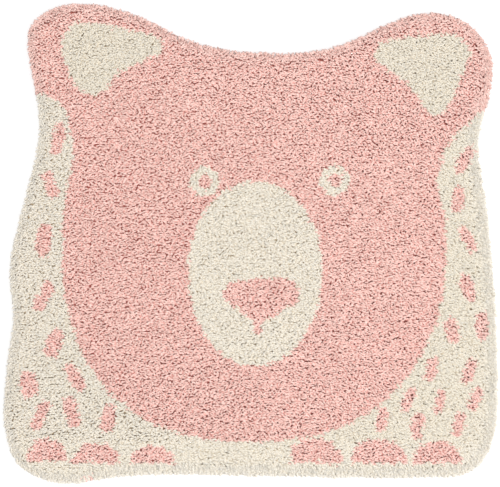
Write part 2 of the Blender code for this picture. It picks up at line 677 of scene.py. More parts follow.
@dataclass(frozen=True)
class FaceShape:
    """The pink head: a squared oval below, nipped in at the cheeks and flared to the neck.

    Attributes in pairs are those of the left and the right side.

    Attributes:
        x: The middle of the face.
        half_width: Half the width at the widest place.
        drop: How far the chin lies below y = 0.
        power: How square the lower half is.
        nip: How far the cheeks draw in above.
        nip_y: Where they draw in most.
        nip_spread: Over what height they do so.
        flare: How far the neck spreads.
        flare_y: Where it starts to spread.
        flare_rise: Over what height it spreads that far.
        flare_power: How suddenly it does so.
    """

    x: float = 0.009
    half_width: float = 0.388
    drop: float = 0.400
    power: tuple[float, float] = (2.42, 2.27)
    nip: tuple[float, float] = (0.022, 0.019)
    nip_y: tuple[float, float] = (0.185, 0.122)
    nip_spread: tuple[float, float] = (0.083, 0.057)
    flare: float = 0.085
    flare_y: tuple[float, float] = (0.250, 0.186)
    flare_rise: tuple[float, float] = (0.067, 0.100)
    flare_power: tuple[float, float] = (3.0, 1.3)

    def edge(self, y: np.ndarray, side: Side) -> np.ndarray:
        """Find the face's edge on one side.

        Below y = 0 the edge follows the oval. Above, it is the half width less a bell curve round
        nip_y, plus flare * (height above flare_y / flare_rise)^flare_power.

        Args:
            y: Heights on the plan.
            side: The side.

        Returns:
            The x of the edge at each height.
        """
        index = list(Side).index(side)
        power = self.power[index]
        below = np.clip(-y / self.drop, 0.0, 1.0)
        lower = self.half_width * (1.0 - below**power) ** (1.0 / power)
        off = (y - self.nip_y[index]) / self.nip_spread[index]
        nip = self.nip[index] * np.exp(-(off**2))
        climb = np.clip(y - self.flare_y[index], 0.0, None) / self.flare_rise[index]
        upper = self.half_width - nip + self.flare * climb ** self.flare_power[index]
        return self.x + side.value * np.where(y < 0.0, lower, upper)

    def covers(self, points: np.ndarray) -> np.ndarray:
        """Tell which points lie between the face's two edges and above the chin."""
        x, y = points.T
        return (x > self.edge(y, Side.LEFT)) & (x < self.edge(y, Side.RIGHT)) & (y > -self.drop)


@dataclass(frozen=True)
class Fleck:
    """A short stroke of pink on a pale flank.

    Attributes:
        side: The flank.
        y: Its height on the plan.
        share: Where it lies from the rim, 0, to the face, 1.
        lean: Degrees by which its top leans to the right.
        width: Its width.
        length: Its length over both round ends.
    """

    side: Side
    y: float
    share: float
    lean: float
    width: float
    length: float

    def outline(self, plan: RugPlan, face: FaceShape) -> Hull:
        """Draw the fleck as a hull of two discs.

        Args:
            plan: The rug's plan.
            face: The face, from whose edge and the rim the fleck takes its place.

        Returns:
            The hull.
        """
        rim = plan.rim_x(self.y, self.side)
        inner = float(face.edge(np.array([self.y]), self.side)[0])
        x = rim + (inner - rim) * self.share
        half = (self.length - self.width) / 2
        dx = half * math.sin(math.radians(self.lean))
        dy = half * math.cos(math.radians(self.lean))
        radius = self.width / 2
        return Hull(((x + dx, self.y + dy, radius), (x - dx, self.y - dy, radius)))


@dataclass(frozen=True)
class Patch:
    """An area of pile that becomes a piece of its own.

    Attributes:
        piece: The piece's name.
        yarn: The yarn that it is tufted with.
        fullness: How thick that yarn is there, as a share of the pile's radius.
        mingled: The share of tufts that lie either way at random, where the rest lie one way.
        zone_shade: Painted shade: how far the tones of tufts away from the rim are shifted to the
            shaded colour.
    """

    piece: str
    yarn: Yarn
    fullness: float
    mingled: float = 1.0
    zone_shade: float = 0.0


class Zone(Enum):
    """The areas of pile."""

    BROW = Patch("pile_brow", Yarn.PINK, 0.84)
    FACE_LEFT = Patch("pile_face_left", Yarn.PINK, 0.83)
    FACE_RIGHT = Patch("pile_face_right", Yarn.PINK, 0.88, 0.5, 0.03)
    EAR_PATCHES = Patch("pile_ear_patches", Yarn.CREAM, 1.08, 0.6, 0.75)
    MUZZLE = Patch("pile_muzzle", Yarn.CREAM, 1.11, 0.6, 0.20)
    FLANK_LEFT = Patch("pile_flank_left", Yarn.CREAM, 0.94)
    FLANK_RIGHT = Patch("pile_flank_right", Yarn.CREAM, 1.18, 0.1, 0.80)
    HEM = Patch("pile_hem", Yarn.CREAM, 1.22, 0.1, 0.40)
    MARKS = Patch("pile_marks", Yarn.PINK, 0.86)


def per_patch(zones: np.ndarray, *names: str) -> list[np.ndarray]:
    """Return the named values of the patch that each of zones has, one array for each name."""
    return [np.array([getattr(zone.value, name) for zone in Zone])[zones] for name in names]


@dataclass
class BearHead:
    """The bear's head in two colours, laid out on the rug's plan.

    Attributes:
        plan: The rug's plan.
        face: The pink face.
        brow_y: Above this line the pink pile is the brow's piece.
        hem_y: Below this line the cream pile is the hem's piece.
        stray: How far a tuft's colour strays over the edge of a shape.
        ear_patches: The cream patches in the ears, two hulls for each.
        muzzle: The cream muzzle.
        eye_places: The x and y of each eye.
        eye_radius: The radius of the eyes' cream rings.
        pupil_radius: The radius of the pink in them.
        nose: The nose.
        philtrum: The short line under it.
        stray_ends: A few pink yarn ends below the hem's first half-rounds.
        flecks: The strokes on the flanks: for each its y, share, lean, width and length.
        scallops: The half-rounds along the hem.
    """

    plan: RugPlan
    face: FaceShape = field(default_factory=FaceShape)
    brow_y: float = 0.190
    hem_y: float = -0.400
    stray: float = 2.3 * MM
    ear_patches: tuple[Hull, ...] = (
        Hull(
            (
                (-0.337, 0.402, 0.043),
                (-0.300, 0.421, 0.024),
                (-0.194, 0.397, 0.018),
                (-0.275, 0.367, 0.022),
            )
        ),
        Hull(((-0.337, 0.402, 0.043), (-0.320, 0.342, 0.041), (-0.275, 0.367, 0.022))),
        Hull(
            (
                (0.278, 0.381, 0.025),
                (0.330, 0.391, 0.026),
                (0.402, 0.381, 0.041),
                (0.337, 0.340, 0.022),
            )
        ),
        Hull(((0.402, 0.381, 0.041), (0.375, 0.282, 0.023), (0.337, 0.340, 0.022))),
    )
    muzzle: Egg = Egg(0.0105, -0.052, 0.1345, 0.177, 0.1955)
    eye_places: tuple[tuple[float, float], ...] = ((-0.092, 0.125), (0.171, 0.127))
    eye_radius: float = 0.030
    pupil_radius: float = 0.0145
    nose: Hull = Hull(
        (
            (-0.029, -0.101, 0.0240),
            (0.030, -0.093, 0.0250),
            (0.075, -0.098, 0.0255),
            (0.018, -0.138, 0.0215),
        )
    )
    philtrum: Hull = Hull(((0.015, -0.160, 0.009), (0.016, -0.179, 0.006)))
    stray_ends: Hull = Hull(((-0.334, -0.470, 0.003), (-0.318, -0.470, 0.003)))
    flecks: ClassVar[dict[Side, tuple[tuple[float, ...], ...]]] = {
        Side.LEFT: (
            (0.210, 0.61, 15, 0.022, 0.068),
            (0.118, 0.57, -20, 0.022, 0.058),
            (0.008, 0.63, 8, 0.029, 0.064),
            (-0.106, 0.62, 30, 0.023, 0.061),
            (-0.200, 0.66, 20, 0.030, 0.063),
            (-0.270, 0.76, -28, 0.022, 0.064),
            (-0.285, 0.25, -5, 0.033, 0.052),
            (-0.347, 0.28, 20, 0.022, 0.062),
            (-0.340, 0.53, -14, 0.025, 0.062),
            (-0.351, 0.76, 8, 0.026, 0.058),
        ),
        Side.RIGHT: (
            (0.170, 0.41, 22, 0.021, 0.064),
            (0.088, 0.62, 12, 0.023, 0.052),
            (0.009, 0.51, -28, 0.020, 0.058),
            (-0.088, 0.54, -15, 0.024, 0.060),
            (-0.166, 0.24, 0, 0.023, 0.058),
            (-0.176, 0.70, -15, 0.026, 0.055),
            (-0.254, 0.79, 18, 0.024, 0.054),
            (-0.257, 0.335, 25, 0.023, 0.058),
            (-0.316, 0.80, 25, 0.023, 0.052),
            (-0.318, 0.51, 12, 0.020, 0.054),
            (-0.313, 0.205, 22, 0.020, 0.051),
            (-0.353, 0.835, 8, 0.022, 0.054),
            (-0.367, 0.52, 12, 0.024, 0.056),
            (-0.363, 0.255, 15, 0.021, 0.054),
        ),
    }
    scallops: tuple[Scallop, ...] = (
        Scallop(-0.409, 0.083, 0.043, base=-0.438),
        Scallop(-0.310, 0.094, 0.042),
        Scallop(-0.197, 0.092, 0.036),
        Scallop(0.133, 0.108, 0.050),
        Scallop(0.260, 0.114, 0.049),
        Scallop(0.377, 0.100, 0.044),
    )

    def marks(self) -> list[Shape]:
        """Gather the small pink shapes.

        Returns:
            The nose and what is under it, the pupils, the flecks and the scallops.
        """
        pupils = [disc(x, y, self.pupil_radius) for x, y in self.eye_places]
        flecks = [Fleck(side, *row) for side, rows in self.flecks.items() for row in rows]
        strokes = [fleck.outline(self.plan, self.face) for fleck in flecks]
        return [self.nose, self.philtrum, self.stray_ends, *pupils, *strokes, *self.scallops]

    def zones(self, points: np.ndarray) -> np.ndarray:
        """Sort points into zones, each shape painted over those before it.

        Args:
            points: Rows of x and y.

        Returns:
            The zone of each point, as its index in the list of Zone.
        """
        order = {zone: index for index, zone in enumerate(Zone)}
        x, y = points.T
        zones = np.where(x < self.face.x, order[Zone.FLANK_LEFT], order[Zone.FLANK_RIGHT])
        zones = np.where(y < self.hem_y, order[Zone.HEM], zones)
        face = self.face.covers(points)
        halves = np.where(x < self.face.x, order[Zone.FACE_LEFT], order[Zone.FACE_RIGHT])
        zones = np.where(face, np.where(y > self.brow_y, order[Zone.BROW], halves), zones)
        eyes = [disc(*place, self.eye_radius) for place in self.eye_places]
        layers = [(Zone.EAR_PATCHES, shape) for shape in self.ear_patches]
        layers += [(Zone.MUZZLE, shape) for shape in (self.muzzle, *eyes)]
        layers += [(Zone.MARKS, shape) for shape in self.marks()]
        for zone, shape in layers:
            zones[shape.covers(points)] = order[zone]
        return zones


# ---- Pile ------------------------------------------------------------------------------------


@dataclass
class TuftBed:
    """Where the tufts are rooted in the ground cloth.

    Attributes:
        plan: The rug's plan.
        cloth_margin: How far the ground cloth reaches past the sole.
        pitch: Distance between two tufts.
        wander: How far a tuft strays from an even grid, as a share of the pitch.
        gap: The least distance between the grid and the rows along the edge, as a share of it.
        edge_rows: How far in from the cloth's edge each close row along it lies.
        edge_pitch: Distance between two tufts of such a row.
    """

    plan: RugPlan
    cloth_margin: float = 4 * MM
    pitch: float = 4.1 * MM
    wander: float = 0.26
    gap: float = 0.35
    edge_rows: tuple[float, ...] = (1.5 * MM, 4.4 * MM, 7.3 * MM, 10.2 * MM)
    edge_pitch: float = 3.3 * MM

    def roots(self, rng: np.random.Generator) -> np.ndarray:
        """Place the roots.

        The field is a triangular grid, whose rows lie pitch * sqrt(3/4) apart and are shifted by
        half a pitch in turn, with each tuft moved a little at random.

        Args:
            rng: The source of the random values.

        Returns:
            Rows of x and y.
        """
        half = np.abs(self.plan.sole).max(axis=0) + self.cloth_margin
        row_step = self.pitch * math.sqrt(0.75)
        columns = np.arange(-half[0], half[0], self.pitch)
        rows = np.arange(-half[1], half[1], row_step)
        x, y = np.meshgrid(columns, rows)
        x = x + 0.5 * self.pitch * (np.arange(len(rows)) % 2)[:, None]
        grid = np.stack([x.ravel(), y.ravel()], axis=1)
        inside, _ = self.plan.measure(grid)
        depth = inside + self.cloth_margin
        field_roots = grid[depth > self.edge_rows[-1] + self.gap * self.pitch]
        edges = [self.plan.loop(self.cloth_margin - row, self.edge_pitch) for row in self.edge_rows]
        roots = np.concatenate([field_roots, *edges])
        return roots + rng.normal(0.0, self.wander * self.pitch / 2, roots.shape)


@dataclass
class Tufts:
    """A batch of tufts: for each its centre line, thickness, roll and tone.

    Attributes:
        lines: Tufts by stations by x, y and z.
        across: For each tuft the level direction square to its sweep.
        radii: Tufts by rings.
        roll: The turn of the yarn's section.
        tone: How bright each tuft is, from 0 to 1.
        rise: Tufts by stations: how far each has risen out of the shade, from 0 to 1.
    """

    lines: np.ndarray
    across: np.ndarray
    radii: np.ndarray
    roll: np.ndarray
    tone: np.ndarray
    rise: np.ndarray

    def pick(self, chosen: np.ndarray) -> "Tufts":
        """Return the chosen tufts."""
        arrays = (self.lines, self.across, self.radii, self.roll, self.tone, self.rise)
        return Tufts(*(array[chosen] for array in arrays))


@dataclass
class PileShape:
    """How a tuft of cut twisted yarn stands, curls over and hangs at the rim.

    What the outermost tufts have more or less of is given in full. Those further in have a share
    of it, down to none at rim_zone.

    Attributes:
        bed: Where the tufts are rooted.
        stations: Places along a tuft, from 0 at the root to 1 at the tip.
        root_z: The height of the roots, inside the ground cloth.
        height: How far a tuft rises above its root.
        height_spread: How much tufts differ in height.
        levelling: How soon a rising tuft levels off, as a power.
        droop: The most that a tip droops, as a share of the height.
        droop_power: How late along a tuft that starts, as a power.
        reach: Half the sweep of a tuft's upper part.
        reach_spread: How much tufts differ in reach, as a share.
        swing: How far the sweep goes forward and back, as shares of reach.
        curl: The most that a tuft bends to one side.
        least_curl: The least, as a share of curl.
        curl_waves: How many half waves the bend has along a tuft.
        radius: The yarn's radius, at its corners.
        radius_spread: How much tufts differ in radius, as a share.
        girth: The yarn's thickness at each ring, as a share of radius.
        spread: Degrees by which tufts stray from the pile's grain, which runs along X.
        fan: Degrees by which the grain turns, clockwise to the right and the other way to the left.
        rim_zone: How far in from the cloth's edge tufts start to lean outwards.
        rim_power: How late on the way out they do so, as a power.
        flat_side: The side where the rim is combed flat, as x and y.
        flat_zone: How much further in tufts lean outwards there.
        tucked_side: The side where the rim's tufts lean out least, as x and y.
        loose_reach: How much further they lean out elsewhere, as a share.
        loose_filling: How much thicker they are elsewhere, as a share.
        nap: Which way the outermost tufts are combed, as x and y.
        combing: How far their lean follows the nap along the rim, as a share.
        rim_height: How high they rise.
        rim_heights: The least and the most of that, as shares.
        rim_lengths: The least and the most that they lean out, as shares of the room there.
        rim_ragged: How far above the floor their tips may end.
        rim_grain: How much of the pile's grain they lose, as a share.
        rim_sweep: How much of the sweep they lose, as a share.
        rim_curl: How much of the bend they lose, as a share.
        rim_sway: How much of the lean with their neighbours they lose, as a share.
        tone: The middle of the tufts' tones, which run from 0 to 1.
        tone_spread: How much neighbouring tufts differ in tone.
        rim_shade: How much painted shade dulls the outermost tufts' tone.
        rim_spread: How much more they differ in tone.
        rim_thinning: How much thinner they are, as a share.
        rim_shade_lift: How much less painted shade lies down their length, as a share.
        crowd_cell: The width of the cells in which tips are counted.
        crowd_blur: How far a tip is felt by its neighbours.
        crowd_step: How far a tip moves away from a crowd in a round, as a share of that.
        crowd_rounds: How many rounds there are.
        sway: How far neighbouring tufts lean together.
        sway_waves: Of how many waves that is made up.
        sway_lengths: The shortest and the longest of them.
    """

    bed: TuftBed
    stations: tuple[float, ...] = (0.0, 0.55, 0.90, 1.0)
    root_z: float = 1.2 * MM
    height: float = 15.5 * MM
    height_spread: float = 1.1 * MM
    levelling: float = 2.2
    droop: float = 0.14
    droop_power: int = 6
    reach: float = 2.4 * MM
    reach_spread: float = 0.35
    swing: tuple[float, float] = (1.9, 0.9)
    curl: float = 1.4 * MM
    least_curl: float = 0.3
    curl_waves: float = 1.5
    radius: float = 1.58 * MM
    radius_spread: float = 0.10
    girth: tuple[float, ...] = (1.90, 0.98)
    spread: float = 28.0
    fan: float = 12.0
    rim_zone: float = 17.0 * MM
    rim_power: float = 1.4
    flat_side: tuple[float, float] = (0.8, -0.6)
    flat_zone: float = 16.0 * MM
    tucked_side: tuple[float, float] = (-1.0, 0.0)
    loose_reach: float = 0.27
    loose_filling: float = 0.28
    nap: tuple[float, float] = (-0.1, -0.8)
    combing: float = 0.6
    rim_height: float = 8.5 * MM
    rim_heights: tuple[float, float] = (0.7, 1.15)
    rim_lengths: tuple[float, float] = (0.78, 1.06)
    rim_ragged: float = 4.0 * MM
    rim_grain: float = 0.8
    rim_sweep: float = 0.55
    rim_curl: float = 0.2
    rim_sway: float = 0.5
    tone: float = 0.75
    tone_spread: float = 0.15
    # Painted shade at the rim: the outermost tufts' tone is lowered.
    rim_shade: float = 0.12
    rim_spread: float = 0.02
    rim_thinning: float = 0.06
    rim_shade_lift: float = 0.85
    crowd_cell: float = 0.8 * MM
    crowd_blur: float = 1.6 * MM
    crowd_step: float = 0.5
    crowd_rounds: int = 8
    sway: float = 0.3 * MM
    sway_waves: int = 14
    sway_lengths: tuple[float, float] = (14 * MM, 120 * MM)


class Growth:
    """A batch of tufts as it grows. Each of its methods is used once, in the order of tufts.

    Attributes:
        shape: How a tuft stands.
        roots: Where the tufts are rooted, as rows of x and y.
        rng: The source of the random values.
        u: Places along a tuft, from 0 to 1, in one row.
        outward: For each root the unit vector to the outside, as rows of x and y.
        rim: 1 for a root on the cloth's edge and 0 for one away from it, in one column.
        loose: 0 at the tucked side and 1 elsewhere, in one column.
    """

    def __init__(self, shape: PileShape, roots: np.ndarray, rng: np.random.Generator) -> None:
        """Find how near the roots are to the rim, as (1 - depth / zone)^rim_power.

        Args:
            shape: How a tuft stands.
            roots: Rows of x and y.
            rng: The source of the random values.
        """
        self.shape, self.roots, self.rng = shape, roots, rng
        self.u = np.array(shape.stations)[None]
        inside, self.outward = shape.bed.plan.measure(roots)
        depth = np.clip(inside + shape.bed.cloth_margin, 0.0, None)
        zone = shape.rim_zone + shape.flat_zone * self._facing(shape.flat_side)
        self.rim = np.clip(1.0 - depth / zone, 0.0, 1.0)[:, None] ** shape.rim_power
        self.loose = 1.0 - self._facing(shape.tucked_side)[:, None]

    def _facing(self, side: tuple[float, float]) -> np.ndarray:
        """Return how far each root's outward vector points to a side, from 0 to 1."""
        return np.clip(self.outward @ np.array(side), 0.0, 1.0)

    def _draw(self, low: float, high: float) -> np.ndarray:
        """Return an even random value between low and high for each tuft, in one column."""
        return self.rng.uniform(low, high, self.rim.shape)

    def way(self, mingled: np.ndarray) -> np.ndarray:
        """Choose the way that each tuft lies: along the grain, and with the nap at the rim.

        Args:
            mingled: The share of tufts that lie either way, for each root.

        Returns:
            Unit vectors, as rows of x and y.
        """
        shape, x = self.shape, self.roots[:, 0]
        turned = -shape.fan * x / np.abs(x).max()
        bearing = np.radians(turned + self.rng.normal(0.0, shape.spread, len(x)))
        bearing += math.pi * (self.rng.uniform(0.0, 1.0, len(x)) < mingled / 2)
        way = np.stack([np.cos(bearing), np.sin(bearing)], axis=1)
        combed = self.outward + np.array(shape.nap)
        way = way * (1.0 - shape.rim_grain * self.rim) + combed * self.rim
        return way / np.linalg.norm(way, axis=1, keepdims=True)

    def sweep(self) -> np.ndarray:
        """Work out how far tufts go along their way: forward as u^3 and back as sin(pi u).

        Returns:
            Tufts by places.
        """
        shape, (forward, back) = self.shape, self.shape.swing
        reach = shape.reach * (1.0 + shape.reach_spread * self._draw(-1, 1))
        path = forward * self.u**3 - back * np.sin(math.pi * self.u)
        return reach * path * (1.0 - shape.rim_sweep * self.rim)

    def bend(self) -> np.ndarray:
        """Work out how far tufts bend to the side: sin(curl_waves pi u + phase), from 0.

        Returns:
            Tufts by places.
        """
        phase = self._draw(0.0, math.tau)
        most = self.shape.curl * self._draw(self.shape.least_curl, 1.0)
        wave = np.sin(self.shape.curl_waves * math.pi * self.u + phase) - np.sin(phase)
        return most * wave * (1.0 - self.shape.rim_curl * self.rim)

    def heights(self) -> np.ndarray:
        """Work out how high tufts stand.

        A tuft rises as 1 - (1 - u)^levelling of its height, less a small droop at its tip. At the
        rim it rises and comes down again as sin(pi u). No place is lower than the root.

        Returns:
            Tufts by places.
        """
        shape, u = self.shape, self.u
        tall = shape.height + shape.height_spread * self.rng.normal(0.0, 1.0, self.rim.shape)
        droop = self._draw(0.0, shape.droop) * u**shape.droop_power
        upright = tall * (1.0 - (1.0 - u) ** shape.levelling - droop)
        hang = self._draw(0.0, shape.rim_ragged)
        arch = shape.rim_height * self._draw(*shape.rim_heights) * np.sin(math.pi * u)
        z = shape.root_z + upright * (1.0 - self.rim) + (arch + hang * u) * self.rim
        return np.maximum(z, shape.root_z)

    def lean_out(self) -> np.ndarray:
        """Work out how far tufts lean out over the cloth's edge, as sin(pi u / 2) of the room.

        Returns:
            Tufts by places by x and y.
        """
        shape, nap = self.shape, np.array(self.shape.nap)
        margin = shape.bed.plan.overhang - shape.bed.cloth_margin
        room = margin + shape.bed.edge_rows[0] - shape.radius
        room = room * (1.0 + shape.loose_reach * self.loose) * self._draw(*shape.rim_lengths)
        out = room * np.sin(math.pi * self.u / 2) * self.rim
        aside = nap - self.outward * (self.outward @ nap)[:, None]
        return (self.outward + shape.combing * aside)[:, None] * out[..., None]

    def sway(self) -> np.ndarray:
        """Work out how far neighbouring tufts lean together.

        The lean is a sum of plane waves, each with a direction, a phase and a lean of its own. It
        comes in as u^2 along a tuft.

        Returns:
            Tufts by places by x and y.
        """
        shape, count = self.shape, self.shape.sway_waves
        lengths = np.geomspace(*shape.sway_lengths, count)
        angles = self.rng.uniform(0.0, math.tau, count)
        ways = np.stack([np.cos(angles), np.sin(angles)]) * math.tau / lengths
        phases = self.rng.uniform(0.0, math.tau, count)
        leans = self.rng.normal(0.0, shape.sway, (count, 2))
        together = np.sin(self.roots @ ways + phases) @ leans
        free = self.u**2 * (1.0 - shape.rim_sway * self.rim)
        return together[:, None, :] * free[..., None]

    def elbowing(self, tips: np.ndarray) -> np.ndarray:
        """Work out how far crowded tips push tufts apart, which comes in as u^2 along a tuft.

        The tips are counted in small cells, the counts are blurred by a bell curve, and each tip
        moves down the slope of the blurred counts by crowd_step a round, against their mean.

        Args:
            tips: Rows of x and y.

        Returns:
            Tufts by places by x and y.
        """
        cell, reach = self.shape.crowd_cell, self.shape.crowd_blur
        low = tips.min(axis=0) - cell
        size = np.ceil((tips.max(axis=0) - low) / cell).astype(int) + 2
        waves = [np.fft.fftfreq(count, cell) for count in size]
        squares = waves[0][:, None] ** 2 + waves[1][None] ** 2
        blur = np.exp(-2.0 * (math.pi * reach) ** 2 * squares)
        moved = tips.copy()
        for _ in range(self.shape.crowd_rounds):
            row, column = np.clip(((moved - low) / cell).astype(int), 0, size - 1).T
            counts = np.bincount(row * size[1] + column, minlength=size.prod())
            crowd = np.fft.ifft2(np.fft.fft2(counts.reshape(size)) * blur).real
            slope = np.stack(np.gradient(crowd, cell), axis=-1)[row, column]
            moved -= self.shape.crowd_step * slope * reach**2 / crowd[row, column].mean()
        return (moved - tips)[:, None] * (self.u**2 * (1.0 - self.rim))[..., None]

    def tufts(self, zones: np.ndarray) -> Tufts:
        """Grow the tufts.

        Seen from above, a tuft's centre line is its root moved along its way by the sweep, across
        it by the bend, outwards by its lean, and by its sway and its push off crowded tips.

        Args:
            zones: The zone of each root, as its index in the list of Zone.

        Returns:
            The tufts.
        """
        shape, rim, loose, edge = self.shape, self.rim, self.loose, self.rim[:, 0]
        fullness, mingled, zone_shade = per_patch(zones, "fullness", "mingled", "zone_shade")
        way = self.way(mingled)
        across = np.stack([-way[:, 1], way[:, 0]], axis=1)
        level = self.roots[:, None] + way[:, None] * self.sweep()[..., None]
        level = level + across[:, None] * self.bend()[..., None]
        z = self.heights()
        level = level + self.lean_out() + self.sway()
        level = level + self.elbowing(level[:, -2:].mean(axis=1))
        thick = shape.radius * (1.0 + shape.radius_spread * self._draw(-1, 1))
        thick = thick * (1.0 + (shape.loose_filling * loose - shape.rim_thinning) * rim)
        roll = self.rng.uniform(0.0, math.tau, len(edge))
        variety = shape.tone_spread + shape.rim_spread * edge
        # Painted shade: tones are lowered away from the rim by zone, and at the rim.
        tone = shape.tone - zone_shade * (1.0 - edge) - shape.rim_shade * edge
        return Tufts(
            lines=np.concatenate([level, z[..., None]], axis=2),
            across=np.concatenate([across, np.zeros((len(edge), 1))], axis=1),
            radii=thick * fullness[:, None] * np.array(shape.girth)[None],
            roll=roll,
            tone=np.clip(tone + variety * self.rng.normal(0.0, 1.0, len(edge)), 0.0, 1.0),
            # Painted shade follows rise; at the rim it is partly lifted.
            rise=self.u + shape.rim_shade_lift * rim * (1.0 - self.u),
        )


def store(mesh: bpy.types.Mesh, name: str, values: np.ndarray) -> None:
    """Store one number for each of the mesh's points."""
    layer = mesh.attributes.new(name, "FLOAT", "POINT")
    layer.data.foreach_set("value", values.astype(np.float32))


class YarnMesher:
    """Turns a batch of tufts into one mesh of closed four-sided yarns.

    A tuft's points are its root, a ring at each station between root and tip, and its tip.

    Attributes:
        sides: How many sides a yarn has.
        underside: Painted shade: how much less than its top a yarn's lower side has risen out of
            the shade, so that it is darker.
        margin: How much of a tuft's cell on the square map is left free at each side.
        stations: Places along a tuft, from its root to its tip.
        twist: Turns of the plies along a tuft.
        rings: How many rings of points a tuft has.
        points: How many points it has in all.
        sizes: How many corners each of its faces has.
        corners: The point at each corner, face after face.
        places: Where each of those corners lies around and along the tuft.
    """

    sides: ClassVar[int] = 4
    underside: ClassVar[float] = 0.45
    margin: ClassVar[float] = 0.08

    def __init__(self, stations: tuple[float, ...], twist: float = 5.0) -> None:
        """Work out the faces of one tuft, which all tufts share.

        Args:
            stations: Places along a tuft, from its root to its tip.
            twist: Turns of the plies along a tuft.
        """
        self.stations = stations
        self.twist = twist
        self.rings = len(stations) - 2
        self.points = self.rings * self.sides + 2
        faces, corners = self._template()
        self.sizes = np.array([len(face) for face in faces])
        self.corners = np.concatenate(faces)
        self.places = np.concatenate(corners)

    def _template(self) -> tuple[list[np.ndarray], list[np.ndarray]]:
        """Work out the faces of a tuft: a fan at each end and rings of quads between.

        Returns:
            The points of each face, and where its corners lie around and along the tuft.
        """
        faces, corners = [], []
        for level in range(self.rings + 1):
            low, high = self.stations[level], self.stations[level + 1]
            below = 1 + (level - 1) * self.sides
            above = below + self.sides
            for side in range(self.sides):
                following = (side + 1) % self.sides
                left, right = side / self.sides, (side + 1) / self.sides
                if level == 0:
                    face = [0, above + following, above + side]
                    shape = [((left + right) / 2, low), (right, high), (left, high)]
                elif level == self.rings:
                    face = [below + side, below + following, self.points - 1]
                    shape = [(left, low), (right, low), ((left + right) / 2, high)]
                else:
                    face = [below + side, below + following, above + following, above + side]
                    shape = [(left, low), (right, low), (right, high), (left, high)]
                faces.append(np.array(face))
                corners.append(np.array(shape))
        return faces, corners

    def skin(self, tufts: Tufts) -> np.ndarray:
        """Work out the points of all tufts: root, rings about the centre line, and tip.

        A ring's point is centre + radius * (cos a * n + sin a * b), where b and n are square to
        the line's direction and a steps round from the tuft's roll. No point lies lower than its
        tuft's root, which is in the ground cloth.

        Args:
            tufts: The batch.

        Returns:
            Rows of x, y and z.
        """
        lines = tufts.lines
        along = np.gradient(lines, axis=1)[:, 1:-1]
        along /= np.linalg.norm(along, axis=2, keepdims=True)
        normal = np.cross(tufts.across[:, None], along)
        normal /= np.linalg.norm(normal, axis=2, keepdims=True)
        across = np.cross(along, normal)
        angle = tufts.roll[:, None] + math.tau * np.arange(self.sides) / self.sides
        cos = np.cos(angle)[:, None, :, None]
        sin = np.sin(angle)[:, None, :, None]
        ring = (cos * normal[:, :, None] + sin * across[:, :, None]) * tufts.radii[..., None, None]
        rings = (lines[:, 1:-1, None] + ring).reshape(len(lines), -1, 3)
        rings[..., 2] = np.maximum(rings[..., 2], lines[:, :1, 2])
        return np.concatenate([lines[:, :1], rings, lines[:, -1:]], axis=1).reshape(-1, 3)

    def mesh(self, name: str, tufts: Tufts) -> bpy.types.Mesh:
        """Build the mesh, with its tone and rise attributes and its two UV maps.

        Args:
            name: The mesh's name.
            tufts: The batch.

        Returns:
            The mesh.
        """
        count = len(tufts.roll)
        mesh = bpy.data.meshes.new(name)
        first_points = np.arange(count)[:, None] * self.points
        loops = (self.corners[None] + first_points).ravel()
        sizes = np.tile(self.sizes, count)
        mesh.vertices.add(count * self.points)
        points = self.skin(tufts)
        mesh.vertices.foreach_set("co", points.astype(np.float32).ravel())
        mesh.loops.add(len(loops))
        mesh.loops.foreach_set("vertex_index", loops.astype(np.int32))
        mesh.polygons.add(len(sizes))
        starts = np.concatenate([[0], np.cumsum(sizes)[:-1]])
        mesh.polygons.foreach_set("loop_start", starts.astype(np.int32))
        mesh.polygons.foreach_set("use_smooth", np.ones(len(sizes), dtype=bool))
        store(mesh, "tone", np.repeat(tufts.tone, self.points))
        store(mesh, "rise", self._rise(tufts, points))
        local = np.tile(self.places * (1.0, self.twist), (count, 1))
        self._uv_map(mesh, "OFBake", self._atlas(count))
        self._uv_map(mesh, "yarn", local)
        mesh.update(calc_edges=True)
        return mesh

    def _rise(self, tufts: Tufts, points: np.ndarray) -> np.ndarray:
        """Work out how far each point has risen out of the shade.

        It is the rise of the point's station, less on the yarn's lower side, which paints shade
        there: the share of the radius by which the point lies below the centre line is taken off,
        times the painted underside shade.

        Args:
            tufts: The batch.
            points: All its points.

        Returns:
            A value for each point, from 0 in the shade to 1 at a tip.
        """
        z = points[:, 2].reshape(len(tufts.roll), self.points)[:, 1:-1]
        level = np.repeat(tufts.lines[:, 1:-1, 2], self.sides, axis=1)
        radius = np.repeat(tufts.radii, self.sides, axis=1)
        under = np.clip((level - z) / radius, 0.0, 1.0)
        # Painted shade on the lower side of each yarn.
        rings = np.repeat(tufts.rise[:, 1:-1], self.sides, axis=1) - self.underside * under
        return np.concatenate([tufts.rise[:, :1], rings, tufts.rise[:, -1:]], axis=1).ravel()

    def _atlas(self, count: int) -> np.ndarray:
        """Give each tuft a cell of its own on one square map.

        Args:
            count: How many tufts there are.

        Returns:
            The place of each corner of each face.
        """
        across = math.ceil(math.sqrt(count))
        index = np.arange(count)
        cells = np.stack([index % across, index // across], axis=1)[:, None]
        inner = self.margin + (1.0 - 2.0 * self.margin) * self.places[None]
        return ((cells + inner) / across).reshape(-1, 2)

    @staticmethod
    def _uv_map(mesh: bpy.types.Mesh, name: str, places: np.ndarray) -> None:
        """Store a UV map with one place for each of the mesh's corners."""
        layer = mesh.uv_layers.new(name=name)
        layer.uv.foreach_set("vector", places.astype(np.float32).ravel())


